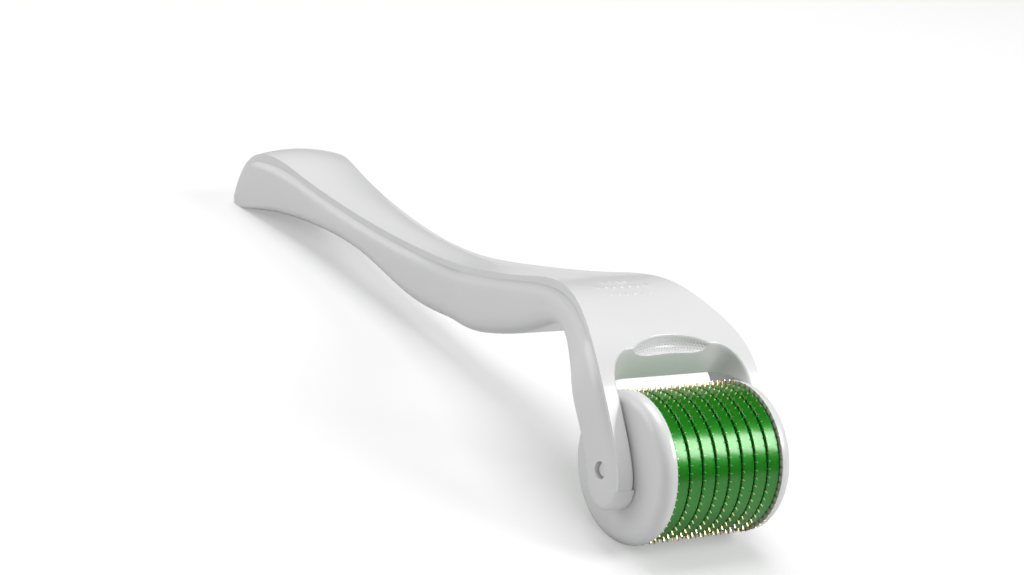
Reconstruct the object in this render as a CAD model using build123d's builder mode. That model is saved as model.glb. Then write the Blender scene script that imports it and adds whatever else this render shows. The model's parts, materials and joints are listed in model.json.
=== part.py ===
from build123d import *
import math
import os

os.makedirs("parts", exist_ok=True)

# ---------------------------------------------------------------- driving dimensions (mm)
# roller drum
drum_diameter = 20.0
needle_length = 0.5
needle_count = 60
needle_base = 0.34
needle_tip_flat = 0.06
disc_count = 9
half_step_discs = 3
disc_thickness = 0.2
disc_recess = 0.25
ring_width = 1.975
ring_edge = 0.2
core_diameter = 13.0
core_wall = 2.0
press_clearance = 0.05
cap_thickness = 2.0
cap_diameter = 20.8
cap_edge_radius = 1.6
spigot_length = 3.0
# axle and fork
axle_diameter = 2.3
axle_recess = 0.5
axle_chamfer = 0.3
bore_clearance = 0.05
end_clearance = 0.2
arm_thickness = 2.75
arm_tip_radius = 3.7
arm_tip_drop = 1.5
arm_tip_lead = 0.8
arm_rim_radius = 0.9
window_corner_radius = 4.0
window_edge_radius = 0.5
web_reach = 7.5
web_underside = 19.8
web_relief_reach = 15.0
finger_rest_radius = 12.5
finger_rest_depth = 1.8
finger_rest_round = 1.2
finger_rest_height = 24.2
# handle
tail_reach = 128.0
tail_half_width = 8.1
tail_run_out = 4.0
tail_depth = 12.0
waist_half_width = 3.7
grip_start = 34.0
cover_edge_height = 1.0
cover_edge_radius = 0.7
cover_crown = 1.0
tail_edge_height = 1.35
thumb_edge_height = 1.1
thumb_dip = 0.3
fork_edge_height = 0.55
fork_crown = 0.25
lower_flare = 0.5
crease_overhang = 0.1
crease_step = 0.15
shoulder_height = 2.0
tail_foot_radius = 0.8
rim_width = 1.3
floor_thickness = 1.6
trim_overlap = 0.6
# locating pegs between the shells
peg_diameter = 2.0
peg_length = 2.6
peg_root = 0.7
peg_shares = [0.82, 0.585, 0.2, 0.03]
peg_clearance = 0.05
peg_end_clearance = 0.3
boss_wall = 0.8
# raised dots of the thumb rest: how many stand in each row, and the rows' reaches
dot_ball_radius = 0.43
dot_height = 0.14
dot_pitch = 1.35
dot_counts = {23.0: 4, 20.8: 7, 18.5: 6}

# ---------------------------------------------------------------- places worked out from them
drum_radius = drum_diameter / 2
tip_radius = drum_radius + needle_length
axle_radius = axle_diameter / 2
overall_length = tail_reach + tip_radius
drum_x = overall_length / 2 - tip_radius
tail_x = -overall_length / 2
drum_z = tip_radius
ring_count = disc_count - 1
disc_pitch = disc_thickness + ring_width
stack_width = disc_count * disc_thickness + ring_count * ring_width
arm_inner = stack_width / 2 + cap_thickness + end_clearance
fork_half_width = arm_inner + arm_thickness


def grip(share):
    """The reach at this share of the way from the shoulder's end of the grip to the tail."""
    return grip_start + share * (tail_reach - grip_start)


# Where the cover wraps down round the tail's end: reach, height of the seam, half width
wrap_reach = tail_reach - tail_edge_height - cover_crown
wrap_stations = [
    (wrap_reach, -2.0, tail_half_width + 0.5),
    (wrap_reach - 0.1, 1.0, tail_half_width + 0.5),
    (wrap_reach - 0.7, 4.0, tail_half_width + 0.4),
    (wrap_reach - 2.0, 7.0, tail_half_width + 0.2),
    (wrap_reach - 4.6, 9.5, tail_half_width - 0.1),
]
# Stations along the seam between the two shells, from the tail to the tips of the arms:
# reach behind the drum's axis, height of the seam, half width there, depth of the lower
# shell, radius of its bottom corners, height of the cover's edge, rise of its crown
stations = [
    (grip(0.883), 10.7, 7.3, 8.6, 1.0, tail_edge_height, cover_crown),
    (grip(0.787), 11.0, 6.2, 7.2, 1.6, cover_edge_height, cover_crown),
    (grip(0.66), 10.8, 5.2, 5.4, 2.2, cover_edge_height, cover_crown),
    (grip(0.51), 11.4, 4.3, 6.1, 2.6, cover_edge_height, cover_crown),
    (grip(0.362), 12.9, waist_half_width, 8.4, 2.8, cover_edge_height, cover_crown),
    (grip(0.234), 15.3, 4.1, 9.0, 3.0, cover_edge_height, cover_crown),
    (grip(0.106), 19.2, 5.8, 8.5, 3.0, 0.9, 0.8),
    (grip_start, 22.9, 7.2, 7.2, 2.6, 0.85, 0.4),
    (26, 25.6, 8.4, 5.5, 2.0, thumb_edge_height, -thumb_dip / 2),
    (20, 26.5, 9.5, 5.1, 1.8, thumb_edge_height, -thumb_dip),
    (14, 25.75, 11.0, 6.2, 1.8, 0.9, -thumb_dip / 3),
    (8, 23.75, 12.7, 7.1, 1.8, fork_edge_height, fork_crown),
    (4, 20.5, fork_half_width - 0.5, 7.3, 1.8, fork_edge_height, fork_crown),
    (0.35, 16.4, fork_half_width - 0.4, 7.3, 1.8, fork_edge_height, fork_crown),
    (-2.8, 12.1, fork_half_width - 0.25, 7.5, 1.6, fork_edge_height, fork_crown),
    (-3.75, 9.4, fork_half_width - 0.15, 6.7, 1.2, fork_edge_height, fork_crown),
    (-4.0, 2.5, fork_half_width - 0.15, 6.8, 1.2, fork_edge_height, fork_crown),
]
cover_end = stations[-2][:2]


def side(reach, height):
    """A point of the side view: so far behind the drum's axis, so high above the rest plane."""
    return (drum_x - reach, height)


def quarter(corner, start, end):
    """A quarter round from start to end about the centre that lies opposite corner."""
    centre = (start[0] + end[0] - corner[0], start[1] + end[1] - corner[1])
    lean = math.sqrt(0.5)
    middle = (centre[0] + lean * (corner[0] - centre[0]), centre[1] + lean * (corner[1] - centre[1]))
    return ThreePointArc(start, middle, end)


seam_points = [side(reach, height) for reach, height, *rest in wrap_stations + stations]
with BuildLine(Plane.XZ):
    seam = Spline(*seam_points)


def station_plane(reach, height):
    """The plane square to the seam: its x is across the handle, its y points out of the cover."""
    point = Vector(drum_x - reach, 0, height)
    along = seam.tangent_at(seam.param_at_point(point))
    return Plane(origin=point, x_dir=(0, 1, 0), z_dir=along)


def seam_plane(reach):
    """The same plane at any reach, found where an upright line crosses the seam."""
    upright = Line((drum_x - reach, 0, 0), (drum_x - reach, 0, overall_length))
    point = seam.intersect(upright)[0].center()
    return station_plane(reach, point.Z)


def clear_of_seam(edge):
    """Whether both ends of an edge stay at least half the cover's edge away from the seam."""
    ends = [Vector(end.X, 0, end.Z) for end in (edge @ 0, edge @ 1)]
    return min(seam.distance_to(end) for end in ends) > fork_edge_height / 2


wrap_planes = [station_plane(reach, height) for reach, height, *rest in wrap_stations]
planes = [station_plane(reach, height) for reach, height, *rest in stations]

# region above the seam, as one block that trims both shells
seam_end = seam.position_at(1)
seam_way = seam.tangent_at(1)
run_out = seam_end + seam_way * fork_half_width
with BuildPart() as above_seam:
    with BuildSketch(Plane.XZ):
        with BuildLine():
            Spline(*seam_points)
            Polyline(
                seam_points[-1],
                (run_out.X, run_out.Z),
                (overall_length, run_out.Z),
                (overall_length, overall_length),
                (-overall_length, overall_length),
                (-overall_length, seam_points[0][1]),
                seam_points[0],
            )
        make_face()
    extrude(amount=2 * fork_half_width, both=True)

# ---------------------------------------------------------------- handle shells
def cover_section(plane, half_width, edge, crown):
    """Section of the cover: flat under, domed over, with rounded upper edges."""
    with BuildSketch(plane) as section:
        with BuildLine():
            Polyline(
                (-half_width, edge),
                (-half_width, -trim_overlap),
                (half_width, -trim_overlap),
                (half_width, edge),
            )
            ThreePointArc((half_width, edge), (0, edge + crown), (-half_width, edge))
        make_face()
        upper = [v for v in section.vertices() if plane.to_local_coords(v.center()).Y > 0]
        fillet(upper, cover_edge_radius)
    return section.sketch


def lower_section(plane, seam_half_width, depth, corner):
    """Section of the lower shell: a shoulder curves in to the crease above, rounded under below."""
    neck = seam_half_width - crease_overhang
    flank = min(seam_half_width + lower_flare, fork_half_width)
    shoulder = -crease_step - shoulder_height
    with BuildSketch(plane) as section:
        with BuildLine():
            Line((0, trim_overlap), (neck, trim_overlap))
            Line((neck, trim_overlap), (neck, -crease_step))
            TangentArc((flank, shoulder), (neck, -crease_step), tangent=(0, 1))
            Line((flank, shoulder), (flank, corner - depth))
            quarter((flank, -depth), (flank, corner - depth), (flank - corner, -depth))
            Line((flank - corner, -depth), (0, -depth))
            Line((0, -depth), (0, trim_overlap))
        make_face()
        mirror(about=Plane.YZ)
    return section.sketch


def hollow_section(plane, seam_half_width, depth):
    """Section of the hollow inside the lower shell."""
    half_width = seam_half_width - crease_overhang - rim_width
    with BuildSketch(plane) as section:
        with Locations((0, floor_thickness - depth)):
            Rectangle(
                2 * half_width,
                depth - floor_thickness + trim_overlap,
                align=(Align.CENTER, Align.MIN),
            )
    return section.sketch


with BuildPart() as cover_form:
    for plane, (reach, height, half_width) in zip(wrap_planes, wrap_stations):
        add(cover_section(plane, half_width, tail_edge_height, cover_crown))
    for plane, (reach, height, half_width, depth, corner, edge, crown) in zip(planes, stations):
        add(cover_section(plane, half_width, edge, crown))
    loft()

# the lower shell's tail runs on straight, flush with the cover that wraps round it
tail_plane = Plane(origin=(tail_x - tail_run_out, 0, stations[0][1]), x_dir=(0, 1, 0), z_dir=(1, 0, 0))
with BuildPart() as lower_form:
    add(lower_section(tail_plane, tail_half_width, tail_depth, tail_foot_radius))
    for plane, (reach, height, half_width, depth, corner, *rest) in zip(planes, stations):
        add(lower_section(plane, half_width, depth, corner))
    loft()

with BuildPart() as hollow_form:
    for plane, (reach, height, half_width, depth, *rest) in list(zip(planes, stations))[:9]:
        add(hollow_section(plane, half_width, depth))
    loft()

with BuildPart() as below_floor:
    with Locations((0, 0, -overall_length / 2)):
        Box(2 * overall_length, overall_length, overall_length)

# the window between the arms, wider in reach below the web, and the finger rest: a dish
# scooped out of the web's front just under its upper edge
with BuildPart() as window:
    with BuildSketch(Plane.XY):
        with Locations((drum_x - web_reach + overall_length / 2, 0)):
            RectangleRounded(overall_length, 2 * arm_inner, window_corner_radius)
    extrude(amount=overall_length)
    with BuildSketch(Plane.XY):
        with Locations((drum_x - web_relief_reach + overall_length / 2, 0)):
            RectangleRounded(overall_length, 2 * arm_inner, window_corner_radius)
    extrude(amount=web_underside)
    dish_x = drum_x - web_reach + finger_rest_radius - finger_rest_depth
    with Locations((dish_x, 0, finger_rest_height)):
        Torus(finger_rest_radius - finger_rest_round, finger_rest_round)

with BuildPart() as beyond_cover:
    with BuildSketch(station_plane(*cover_end)):
        Rectangle(4 * fork_half_width, 8 * arm_tip_radius)
    extrude(amount=8 * arm_tip_radius)

# the arms' tips beyond the cover, rounded in the side view and along their outer rims
tip_centre = side(-arm_tip_lead, drum_z - arm_tip_drop)
with BuildPart() as arm_tips:
    with BuildSketch(Plane.XZ):
        with Locations((tip_centre[0], tip_centre[1] + 2 * arm_tip_radius)):
            SlotOverall(6 * arm_tip_radius, 2 * arm_tip_radius, rotation=90)
    extrude(amount=fork_half_width, both=True)
    outer_rims = arm_tips.edges().group_by(Axis.Y)
    fillet(outer_rims[0] + outer_rims[-1], arm_rim_radius)
    add(beyond_cover.part, mode=Mode.INTERSECT)

# pegs, their sockets and the bosses round the sockets, all upright as the shells are moulded
seats = [seam_plane(grip(share)).origin for share in peg_shares]
with BuildPart() as pegs:
    for seat in seats:
        with BuildSketch(Plane(seat - Vector(0, 0, peg_length))):
            Circle(peg_diameter / 2)
        extrude(amount=peg_length + peg_root)
with BuildPart() as sockets:
    for seat in seats:
        with BuildSketch(Plane(seat - Vector(0, 0, peg_length + peg_end_clearance))):
            Circle(peg_diameter / 2 + peg_clearance)
        extrude(amount=2 * peg_length)
with BuildPart() as bosses:
    for seat in seats:
        with BuildSketch(Plane.XY):
            with Locations((seat.X, seat.Y)):
                Circle(peg_diameter / 2 + peg_clearance + boss_wall)
        extrude(amount=overall_length)

dot_centre_height = thumb_edge_height - thumb_dip + dot_height - dot_ball_radius
with BuildPart() as thumb_dots:
    for reach, count in dot_counts.items():
        row = seam_plane(reach)
        for index in range(count):
            across = (index - (count - 1) / 2) * dot_pitch
            with Locations(row * Location((across, dot_centre_height))):
                Sphere(dot_ball_radius)

with BuildPart() as upper_shell:
    add(cover_form.part)
    add(above_seam.part, mode=Mode.INTERSECT)
    add(below_floor.part, mode=Mode.SUBTRACT)
    add(beyond_cover.part, mode=Mode.SUBTRACT)
    tail_edge = upper_shell.edges().group_by(Axis.X)[0]
    fillet(tail_edge, tail_foot_radius)
    add(window.part, mode=Mode.SUBTRACT)
    window_edges = [edge for edge in upper_shell.edges(Select.NEW) if clear_of_seam(edge)]
    fillet(window_edges, window_edge_radius)
    add(pegs.part)
    add(thumb_dots.part)
upper_shell.part.label = "upper_shell"

with BuildPart() as lower_shell:
    add(lower_form.part)
    add(above_seam.part, mode=Mode.SUBTRACT)
    add(beyond_cover.part, mode=Mode.SUBTRACT)
    add(arm_tips.part)
    add(below_floor.part, mode=Mode.SUBTRACT)
    add(window.part, mode=Mode.SUBTRACT)
    with Locations((drum_x, 0, drum_z)):
        Cylinder(
            axle_radius + bore_clearance,
            4 * fork_half_width,
            rotation=(90, 0, 0),
            mode=Mode.SUBTRACT,
        )
    add(hollow_form.part - bosses.part, mode=Mode.SUBTRACT)
    add(sockets.part, mode=Mode.SUBTRACT)
lower_shell.part.label = "lower_shell"

# ---------------------------------------------------------------- roller drum
bore_radius = core_diameter / 2 + press_clearance
core_bore_radius = core_diameter / 2 - core_wall


def drum_plane(offset):
    """The plane square to the drum's axis at this offset along it, facing +Y."""
    return Plane(origin=(drum_x, offset, drum_z), x_dir=(1, 0, 0), z_dir=(0, 1, 0))


with BuildPart() as drum_core:
    with BuildSketch(drum_plane(-stack_width / 2)):
        Circle(core_diameter / 2)
        Circle(core_bore_radius, mode=Mode.SUBTRACT)
    extrude(amount=stack_width)
drum_core.part.label = "drum_core"
pieces = [upper_shell.part, lower_shell.part, drum_core.part]

# the first few discs are pressed on half a needle's step round from the others
needle_step = 360 / needle_count
needle_outline = [
    (drum_radius - 2 * disc_recess, -needle_base / 2),
    (tip_radius, -needle_tip_flat / 2),
    (tip_radius, needle_tip_flat / 2),
    (drum_radius - 2 * disc_recess, needle_base / 2),
]
for index in range(disc_count):
    first_needle = needle_step / 2 if index < half_step_discs else 0
    with BuildPart() as needle_disc:
        with BuildSketch(drum_plane(index * disc_pitch - stack_width / 2)):
            Circle(drum_radius - disc_recess)
            with PolarLocations(0, needle_count, start_angle=first_needle):
                Polygon(*needle_outline, align=None)
            Circle(bore_radius, mode=Mode.SUBTRACT)
        extrude(amount=disc_thickness)
    needle_disc.part.label = f"needle_disc_{index + 1}"
    pieces.append(needle_disc.part)

for index in range(ring_count):
    with BuildPart() as spacer_ring:
        with BuildSketch(drum_plane(index * disc_pitch + disc_thickness - stack_width / 2)):
            Circle(drum_radius)
            Circle(bore_radius, mode=Mode.SUBTRACT)
        extrude(amount=ring_width)
        outer_edges = spacer_ring.edges().filter_by(GeomType.CIRCLE).sort_by(SortBy.RADIUS)[-2:]
        fillet(outer_edges, ring_edge)
    spacer_ring.part.label = f"spacer_ring_{index + 1}"
    pieces.append(spacer_ring.part)

# one cap, drawn with its inner face at the origin and its axle along +Z
with BuildPart() as cap:
    Cylinder(cap_diameter / 2, cap_thickness, align=(Align.CENTER, Align.CENTER, Align.MIN))
    rim = cap.edges().filter_by(GeomType.CIRCLE).group_by(Axis.Z)[-1]
    fillet(rim, cap_edge_radius)
    with BuildSketch(Plane.XY.offset(cap_thickness)):
        Circle(axle_radius)
    extrude(amount=end_clearance + arm_thickness - axle_recess)
    chamfer(cap.edges().filter_by(GeomType.CIRCLE).group_by(Axis.Z)[-1], axle_chamfer)
    with BuildSketch(Plane.XY):
        Circle(core_bore_radius - press_clearance)
    extrude(amount=-spigot_length)

for name, turn in (("left", 90), ("right", -90)):
    with BuildPart() as end_cap:
        with Locations(Location((drum_x, math.copysign(stack_width / 2, -turn), drum_z), (turn, 0, 0))):
            add(cap.part)
    end_cap.part.label = f"end_cap_{name}"
    pieces.append(end_cap.part)

for piece in pieces:
    export_step(piece, f"parts/{piece.label}.step")
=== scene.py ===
import json
import math
import bmesh
import bpy
import numpy as np
from mathutils import Matrix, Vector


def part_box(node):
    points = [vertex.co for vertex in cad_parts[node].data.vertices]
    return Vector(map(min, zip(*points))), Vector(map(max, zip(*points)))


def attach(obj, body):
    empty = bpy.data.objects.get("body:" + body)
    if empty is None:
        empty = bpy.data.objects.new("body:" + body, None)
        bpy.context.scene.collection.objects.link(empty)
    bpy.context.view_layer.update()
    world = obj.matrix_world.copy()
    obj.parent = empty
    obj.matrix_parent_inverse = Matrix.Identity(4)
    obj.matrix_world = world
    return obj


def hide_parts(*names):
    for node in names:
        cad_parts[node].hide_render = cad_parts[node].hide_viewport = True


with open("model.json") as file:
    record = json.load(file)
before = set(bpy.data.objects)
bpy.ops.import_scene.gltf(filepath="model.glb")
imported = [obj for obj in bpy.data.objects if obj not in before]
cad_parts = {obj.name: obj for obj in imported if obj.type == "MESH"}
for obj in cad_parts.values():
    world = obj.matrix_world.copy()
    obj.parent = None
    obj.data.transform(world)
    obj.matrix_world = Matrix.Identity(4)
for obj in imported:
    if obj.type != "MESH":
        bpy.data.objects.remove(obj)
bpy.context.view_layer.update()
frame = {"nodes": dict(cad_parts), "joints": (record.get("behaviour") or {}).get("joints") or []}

scene = bpy.context.scene
nodes = frame["nodes"]
drum_centre = np.array(frame["joints"][0]["pos_m"])

# ---------------------------------------------------------------- camera
# A long lens in front of the drum's left end, a little above it and rolled, so
# that the handle runs up to the left.
camera_from_drum = np.array([0.18599, -0.16522, 0.11169])
camera_right = np.array([0.51262, 0.83930, 0.18108])
camera_up = np.array([-0.39042, 0.04001, 0.91977])
lens_pixels = 2000.0
image_width = 1024.0


def stand(place, across, upward):
    """The matrix of an object at place whose x points across and whose y leans upward."""
    across = across / np.linalg.norm(across)
    upward = upward - across * upward.dot(across)
    upward /= np.linalg.norm(upward)
    matrix = np.eye(4)
    matrix[:3, 0], matrix[:3, 1], matrix[:3, 2] = across, upward, np.cross(across, upward)
    matrix[:3, 3] = place
    return Matrix(matrix.tolist())


camera_data = bpy.data.cameras.new("camera")
camera_data.sensor_width = 36.0
camera_data.lens = camera_data.sensor_width * lens_pixels / image_width
camera_data.clip_start = 0.01
camera_data.clip_end = 20.0
camera = bpy.data.objects.new("camera", camera_data)
camera.matrix_world = stand(drum_centre + camera_from_drum, camera_right, camera_up)
scene.collection.objects.link(camera)
scene.camera = camera
scene.view_settings.view_transform = "Standard"

# ---------------------------------------------------------------- table and light
# A white table that keeps the roller's soft shadow, four softboxes that face the
# drum, the strongest of them overhead, and an even pale sky that is white where
# it is seen.
table_reach = 4.0
table_white = 0.62
table_glow = 0.36
sky_strength = 0.24
sky_in_gloss = 0.03
softbox_distance = 0.9


def seen_directly(tree):
    """A 0 to 1 value: 1 for what the camera or a clear material sees of the surround."""
    path = tree.nodes.new("ShaderNodeLightPath")
    clear = tree.nodes.new("ShaderNodeMath")
    clear.operation = "MAXIMUM"
    tree.links.new(path.outputs["Is Camera Ray"], clear.inputs[0])
    tree.links.new(path.outputs["Is Transmission Ray"], clear.inputs[1])
    return clear.outputs[0]


table_mesh = bpy.data.meshes.new("table")
table_mesh.from_pydata(
    [(-table_reach, -table_reach, 0.0), (table_reach, -table_reach, 0.0),
     (table_reach, table_reach, 0.0), (-table_reach, table_reach, 0.0)], [], [(0, 1, 2, 3)])
table = bpy.data.objects.new("table", table_mesh)
scene.collection.objects.link(table)
paper = bpy.data.materials.new("table_paper")
paper.use_nodes = True
paper_tree = paper.node_tree
paper_tree.nodes.clear()
paper_matt = paper_tree.nodes.new("ShaderNodeBsdfDiffuse")
paper_matt.inputs["Color"].default_value = (table_white, table_white, table_white, 1.0)
paper_glow = paper_tree.nodes.new("ShaderNodeEmission")
paper_level = paper_tree.nodes.new("ShaderNodeMath")
paper_level.operation = "MULTIPLY"
paper_level.inputs[1].default_value = table_glow
paper_both = paper_tree.nodes.new("ShaderNodeAddShader")
paper_out = paper_tree.nodes.new("ShaderNodeOutputMaterial")
paper_tree.links.new(seen_directly(paper_tree), paper_level.inputs[0])
paper_tree.links.new(paper_level.outputs[0], paper_glow.inputs["Strength"])
paper_tree.links.new(paper_matt.outputs[0], paper_both.inputs[0])
paper_tree.links.new(paper_glow.outputs[0], paper_both.inputs[1])
paper_tree.links.new(paper_both.outputs[0], paper_out.inputs["Surface"])
table_mesh.materials.append(paper)


def white_background(tree, strength):
    """A white background of the given strength."""
    background = tree.nodes.new("ShaderNodeBackground")
    background.inputs["Color"].default_value = (1.0, 1.0, 1.0, 1.0)
    background.inputs["Strength"].default_value = strength
    return background.outputs[0]


sky = bpy.data.worlds.new("sky")
scene.world = sky
sky.use_nodes = True
sky_tree = sky.node_tree
sky_tree.nodes.clear()
sky_path = sky_tree.nodes.new("ShaderNodeLightPath")
sky_given = sky_tree.nodes.new("ShaderNodeMixShader")
sky_mix = sky_tree.nodes.new("ShaderNodeMixShader")
sky_out = sky_tree.nodes.new("ShaderNodeOutputWorld")
sky_tree.links.new(sky_path.outputs["Is Glossy Ray"], sky_given.inputs[0])
sky_tree.links.new(white_background(sky_tree, sky_strength), sky_given.inputs[1])
sky_tree.links.new(white_background(sky_tree, sky_in_gloss), sky_given.inputs[2])
sky_tree.links.new(seen_directly(sky_tree), sky_mix.inputs[0])
sky_tree.links.new(sky_given.outputs[0], sky_mix.inputs[1])
sky_tree.links.new(white_background(sky_tree, 1.0), sky_mix.inputs[2])
sky_tree.links.new(sky_mix.outputs[0], sky_out.inputs["Surface"])


def softbox(name, direction, size, power):
    """A square lamp that faces the drum from a direction."""
    lamp_data = bpy.data.lights.new(name, "AREA")
    lamp_data.shape = "SQUARE"
    lamp_data.size = size
    lamp_data.energy = power
    lamp = bpy.data.objects.new(name, lamp_data)
    away = np.array(direction) / np.linalg.norm(direction)
    across = np.cross([0.0, 1.0, 0.0], away)
    place = drum_centre + softbox_distance * away
    lamp.matrix_world = stand(place, across, np.cross(away, across))
    scene.collection.objects.link(lamp)


softbox("softbox_right", direction=(0.52, 0.60, 0.60), size=0.36, power=3.6)
softbox("softbox_top", direction=(-0.25, 0.05, 1.0), size=0.60, power=5.2)
softbox("softbox_left", direction=(-0.60, -0.72, 0.25), size=0.60, power=2.3)
softbox("softbox_front", direction=(0.85, -0.10, 0.50), size=0.50, power=0.7)


# ---------------------------------------------------------------- handle shells
# Two injection-moulded shells of glossy white ABS, pressed together on pegs; the
# upper one carries the raised thumb dots and wraps down round the tail.
same_corner = 2e-6
sliver_width = 1e-5
sharp_from = math.radians(30.0)


def merged_copy(node):
    """A copy of the node's solid, its facets merged and shaded smooth except at sharp edges."""
    mesh = nodes[node].data.copy()
    mesh.name = f"{node}_moulding"
    work = bmesh.new()
    work.from_mesh(mesh)
    bmesh.ops.remove_doubles(work, verts=work.verts, dist=same_corner)
    bmesh.ops.dissolve_degenerate(work, edges=work.edges, dist=sliver_width)
    for edge in work.edges:
        edge.smooth = len(edge.link_faces) == 2 and edge.calc_face_angle(0.0) < sharp_from
    for face in work.faces:
        face.smooth = True
    work.to_mesh(mesh)
    work.free()
    mesh.materials.clear()
    piece = bpy.data.objects.new(mesh.name, mesh)
    scene.collection.objects.link(piece)
    flats = piece.modifiers.new("flats_stay_flat", "WEIGHTED_NORMAL")
    flats.mode = "FACE_AREA"
    flats.keep_sharp = True
    return piece


def dress(piece, body, finish, slot, *replaced):
    """Give a piece its finish, hang it on its body's empty and hide the nodes it stands for."""
    piece.data.materials.append(finish)
    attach(piece, body)
    if replaced:
        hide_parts(*replaced)


def moulded_grain():
    """Node group: the faint unevenness of a surface, as a height and a roughness."""
    group = bpy.data.node_groups.new("moulded_grain", "ShaderNodeTree")
    for socket in ("Scale", "Roughness", "Variation"):
        group.interface.new_socket(socket, in_out="INPUT", socket_type="NodeSocketFloat")
    for socket in ("Height", "Roughness"):
        group.interface.new_socket(socket, in_out="OUTPUT", socket_type="NodeSocketFloat")
    given = group.nodes.new("NodeGroupInput")
    result = group.nodes.new("NodeGroupOutput")
    place = group.nodes.new("ShaderNodeTexCoord")
    fine = group.nodes.new("ShaderNodeTexNoise")
    fine.inputs["Detail"].default_value = 3.0
    patches = group.nodes.new("ShaderNodeTexNoise")
    patches.inputs["Scale"].default_value = 60.0
    patches.inputs["Detail"].default_value = 2.0
    spread = group.nodes.new("ShaderNodeMath")
    spread.operation = "MULTIPLY_ADD"
    group.links.new(place.outputs["Object"], fine.inputs["Vector"])
    group.links.new(place.outputs["Object"], patches.inputs["Vector"])
    group.links.new(given.outputs["Scale"], fine.inputs["Scale"])
    group.links.new(patches.outputs["Fac"], spread.inputs[0])
    group.links.new(given.outputs["Variation"], spread.inputs[1])
    group.links.new(given.outputs["Roughness"], spread.inputs[2])
    group.links.new(fine.outputs["Fac"], result.inputs["Height"])
    group.links.new(spread.outputs[0], result.inputs["Roughness"])
    return group


grain = moulded_grain()


def new_material(name):
    """A new material, its node tree and its shader."""
    material = bpy.data.materials.new(name)
    material.use_nodes = True
    return material, material.node_tree, material.node_tree.nodes["Principled BSDF"]


def grained(tree, shader, scale, roughness, variation):
    """Link the grain's roughness to the shader, and give back the grain's height."""
    texture = tree.nodes.new("ShaderNodeGroup")
    texture.node_tree = grain
    texture.inputs["Scale"].default_value = scale
    texture.inputs["Roughness"].default_value = roughness
    texture.inputs["Variation"].default_value = variation
    tree.links.new(texture.outputs["Roughness"], shader.inputs["Roughness"])
    return texture.outputs["Height"]


def plastic(name, colour, roughness, coat):
    """A moulded plastic with faint grain, under a clear gloss of the given weight."""
    material, tree, shader = new_material(name)
    shader.inputs["Base Color"].default_value = (*colour, 1.0)
    shader.inputs["IOR"].default_value = 1.5
    shader.inputs["Coat Weight"].default_value = coat
    shader.inputs["Coat Roughness"].default_value = 0.08
    relief = tree.nodes.new("ShaderNodeBump")
    relief.inputs["Strength"].default_value = 0.03
    relief.inputs["Distance"].default_value = 0.00005
    height = grained(tree, shader, scale=900.0, roughness=roughness, variation=0.10)
    tree.links.new(height, relief.inputs["Height"])
    tree.links.new(relief.outputs["Normal"], shader.inputs["Normal"])
    return material


white_abs = plastic("white_abs", colour=(0.80, 0.80, 0.805), roughness=0.26, coat=0.35)
for node in ("upper_shell", "lower_shell"):
    dress(merged_copy(node), "handle", white_abs, "white_plastic", node)

# ---------------------------------------------------------------- finger rest grip
# Rows of fine pips moulded into the dish under the web's front edge, in the same
# white ABS, so that a fingertip does not slip.
web_reach = 0.0075
dish_outer = 0.0125
dish_depth = 0.0018
dish_round = 0.0012
dish_height = 0.0242
dish_margin = 0.0002
pip_radius = 0.00014
pip_height = 0.00008
pip_spacing = 0.00043
pip_sides = 8
pip_rows = 5
pips_each_way = 14
first_row_rise = math.radians(-86.0)
dome_rings = ((1.0, -0.3), (0.8, 0.55), (0.4, 0.9))


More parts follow.
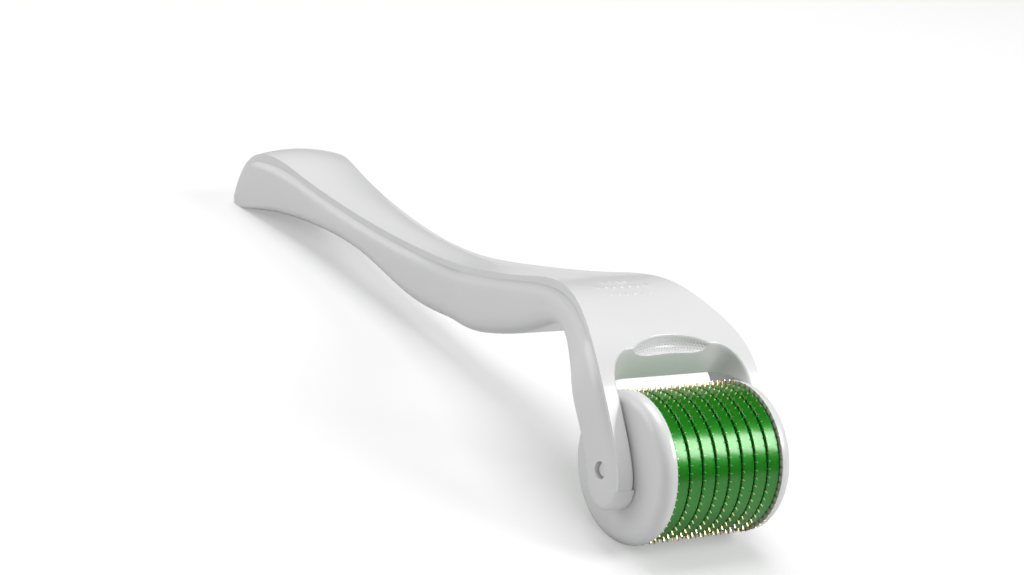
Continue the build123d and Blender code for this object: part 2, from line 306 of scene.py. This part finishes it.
def grip_pips():
    """Domes on the dish, a torus about an upright axis that cuts dish_depth into the web's edge.

    With ring = dish_outer - dish_round, a point of the dish lies (ring + dish_round cos rise)
    from that axis, turned by swing from the web's middle, at height
    dish_height + dish_round sin rise. Pips closer than dish_margin to the web's edge are left
    out. A dome's corners lie on dome_rings, each a share of pip_radius from the dome's middle
    and a share of pip_height above the dish, and its faces close over one crown at pip_height.
    """
    ring = dish_outer - dish_round
    axis_x = drum_centre[0] - web_reach + dish_outer - dish_depth
    grid = np.mgrid[0:pip_rows, -pips_each_way:pips_each_way + 1]
    row, step = [values.ravel() for values in grid]
    rise = first_row_rise + row * pip_spacing / dish_round
    swing = (step + 0.5 * (row % 2)) * pip_spacing / ring
    reach = ring + dish_round * np.cos(rise)
    inside = reach * np.cos(swing) > dish_outer - dish_depth + dish_margin
    rise, swing, reach = rise[inside], swing[inside], reach[inside]
    outward = np.stack([-np.cos(swing), np.sin(swing), np.zeros_like(swing)], axis=1)
    upward = np.array([0.0, 0.0, 1.0])
    centre = np.array([axis_x, drum_centre[1], dish_height]) + reach[:, None] * outward
    centre[:, 2] += dish_round * np.sin(rise)
    normal = -(np.cos(rise)[:, None] * outward + np.sin(rise)[:, None] * upward)
    across = np.stack([np.sin(swing), np.cos(swing), np.zeros_like(swing)], axis=1)
    along = np.cross(normal, across)
    turn = np.linspace(0.0, 2.0 * np.pi, pip_sides, endpoint=False)
    spoke = (np.cos(turn)[None, :, None] * across[:, None]
             + np.sin(turn)[None, :, None] * along[:, None])
    rings = [centre[:, None] + share * pip_radius * spoke + lift * pip_height * normal[:, None]
             for share, lift in dome_rings]
    crown = (centre + pip_height * normal)[:, None]
    corners = np.concatenate(rings + [crown], axis=1)
    crown_corner = len(dome_rings) * pip_sides
    last_ring = crown_corner - pip_sides
    lower = np.arange(0, last_ring, pip_sides)[:, None]
    side = np.arange(pip_sides)
    after = (side + 1) % pip_sides
    quads = np.stack([side + lower, after + lower,
                      after + lower + pip_sides, side + lower + pip_sides], axis=-1)
    caps = np.stack([side + last_ring, after + last_ring,
                     np.full(pip_sides, crown_corner)], axis=-1)
    start = (crown_corner + 1) * np.arange(len(centre))[:, None, None]
    quads = (quads.reshape(-1, 4) + start).reshape(-1, 4)
    caps = (caps + start).reshape(-1, 3)
    mesh = bpy.data.meshes.new("finger_rest_grip")
    mesh.from_pydata(corners.reshape(-1, 3).tolist(), [], quads.tolist() + caps.tolist())
    mesh.shade_smooth()
    piece = bpy.data.objects.new("finger_rest_grip", mesh)
    scene.collection.objects.link(piece)
    return piece


dress(grip_pips(), "handle", white_abs, "white_plastic")

# ---------------------------------------------------------------- drum end caps
# White ABS caps with well-rounded rims that close the drum, each with the stub
# axle it turns on.
for node in ("end_cap_left", "end_cap_right"):
    dress(merged_copy(node), "roller", white_abs, "white_plastic", node)


# ---------------------------------------------------------------- drum core
# A tube of dark green ABS between the caps, that the discs and rings are
# threaded on.
def repaint(node, finish):
    """Give a node that stays as it is its finish."""
    nodes[node].data.materials.clear()
    nodes[node].data.materials.append(finish)


repaint("drum_core", plastic("core_abs", colour=(0.03, 0.20, 0.04), roughness=0.35, coat=0.0))

# ---------------------------------------------------------------- spacer rings
# Glossy green rings that keep the needle discs apart, threaded on the core; a
# brassy streak, broken up by noise, runs round the middle of each.
ring_count = 8
first_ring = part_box("spacer_ring_1")[0][1]
ring_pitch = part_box("spacer_ring_2")[0][1] - first_ring
streak_start, streak_middle, streak_end = 0.30, 0.45, 0.62
mix_low, mix_high, mix_result = 6, 7, 2


def tinted(tree, share, low, high):
    """A colour that goes from low to high as the share goes from 0 to 1.

    A mix node's sockets share their names, so its colours are picked by number.
    """
    tint = tree.nodes.new("ShaderNodeMix")
    tint.data_type = "RGBA"
    tint.inputs[mix_low].default_value = (*low, 1.0)
    tint.inputs[mix_high].default_value = (*high, 1.0)
    tree.links.new(share, tint.inputs["Factor"])
    return tint.outputs[mix_result]


def ring_green():
    """Deep green, partly metallic, that shades to brass in noisy streaks round the middle of
    each ring.
    """
    material, tree, shader = new_material("ring_green")
    shader.inputs["Metallic"].default_value = 0.6
    shader.inputs["Specular IOR Level"].default_value = 0.2
    shader.inputs["Specular Tint"].default_value = (0.25, 0.75, 0.25, 1.0)
    shader.inputs["Coat Weight"].default_value = 1.0
    shader.inputs["Coat Roughness"].default_value = 0.22
    shader.inputs["Coat IOR"].default_value = 1.62
    place = tree.nodes.new("ShaderNodeTexCoord")
    apart = tree.nodes.new("ShaderNodeSeparateXYZ")
    share = tree.nodes.new("ShaderNodeMapRange")
    share.inputs["From Min"].default_value = first_ring
    share.inputs["From Max"].default_value = first_ring + ring_pitch
    share.clamp = False
    wrapped = tree.nodes.new("ShaderNodeMath")
    wrapped.operation = "FRACT"
    band = tree.nodes.new("ShaderNodeValToRGB")
    band.color_ramp.interpolation = "EASE"
    before, middle = band.color_ramp.elements
    before.position, before.color = streak_start, (0.0, 0.0, 0.0, 1.0)
    middle.position, middle.color = streak_middle, (1.0, 1.0, 1.0, 1.0)
    band.color_ramp.elements.new(streak_end).color = (0.0, 0.0, 0.0, 1.0)
    stretch = tree.nodes.new("ShaderNodeMapping")
    stretch.inputs["Scale"].default_value = (90.0, 9000.0, 90.0)
    streaks = tree.nodes.new("ShaderNodeTexNoise")
    streaks.inputs["Scale"].default_value = 1.0
    streaks.inputs["Detail"].default_value = 2.0
    brassy = tree.nodes.new("ShaderNodeMath")
    brassy.operation = "MULTIPLY"
    rough = tree.nodes.new("ShaderNodeMapRange")
    rough.inputs["To Min"].default_value = 0.36
    rough.inputs["To Max"].default_value = 0.52
    tree.links.new(place.outputs["Object"], apart.inputs[0])
    tree.links.new(apart.outputs["Y"], share.inputs["Value"])
    tree.links.new(share.outputs[0], wrapped.inputs[0])
    tree.links.new(wrapped.outputs[0], band.inputs["Fac"])
    tree.links.new(place.outputs["Object"], stretch.inputs["Vector"])
    tree.links.new(stretch.outputs[0], streaks.inputs["Vector"])
    tree.links.new(band.outputs["Color"], brassy.inputs[0])
    tree.links.new(streaks.outputs["Fac"], brassy.inputs[1])
    colour = tinted(tree, brassy.outputs[0], low=(0.002, 0.27, 0.006), high=(0.07, 0.18, 0.008))
    tree.links.new(colour, shader.inputs["Base Color"])
    tree.links.new(streaks.outputs["Fac"], rough.inputs["Value"])
    tree.links.new(rough.outputs[0], shader.inputs["Roughness"])
    return material


green = ring_green()
for index in range(ring_count):
    node = f"spacer_ring_{index + 1}"
    dress(merged_copy(node), "roller", green, "green_plastic", node)

# ---------------------------------------------------------------- needle discs
# Etched steel discs with a pale gold coat; only their rows of needles stand out
# between the rings, and the discs' own edges in the grooves are painted dark green as shade.
painted_shade_radius = 0.00985
painted_shade_blend = 0.0002


def needle_gold():
    """Pale gold metal, with painted shade in dark green where it lies below the rings' surface.
    """
    material, tree, shader = new_material("needle_gold")
    shader.inputs["Metallic"].default_value = 1.0
    place = tree.nodes.new("ShaderNodeTexCoord")
    centred = tree.nodes.new("ShaderNodeMapping")
    centred.inputs["Location"].default_value = (-drum_centre[0], 0.0, -drum_centre[2])
    centred.inputs["Scale"].default_value = (1.0, 0.0, 1.0)
    from_axis = tree.nodes.new("ShaderNodeVectorMath")
    from_axis.operation = "LENGTH"
    above_painted_shade = tree.nodes.new("ShaderNodeMapRange")
    above_painted_shade.inputs["From Min"].default_value = painted_shade_radius
    above_painted_shade.inputs["From Max"].default_value = painted_shade_radius + painted_shade_blend
    tree.links.new(place.outputs["Object"], centred.inputs["Vector"])
    tree.links.new(centred.outputs[0], from_axis.inputs[0])
    tree.links.new(from_axis.outputs["Value"], above_painted_shade.inputs["Value"])
    # Painted shade: dark green below the rings' surface, pale gold above it.
    colour = tinted(tree, above_painted_shade.outputs[0], low=(0.02, 0.05, 0.01), high=(0.76, 0.64, 0.34))
    tree.links.new(colour, shader.inputs["Base Color"])
    grained(tree, shader, scale=4000.0, roughness=0.28, variation=0.12)
    return material


gold = needle_gold()
for index in range(ring_count + 1):
    repaint(f"needle_disc_{index + 1}", gold)
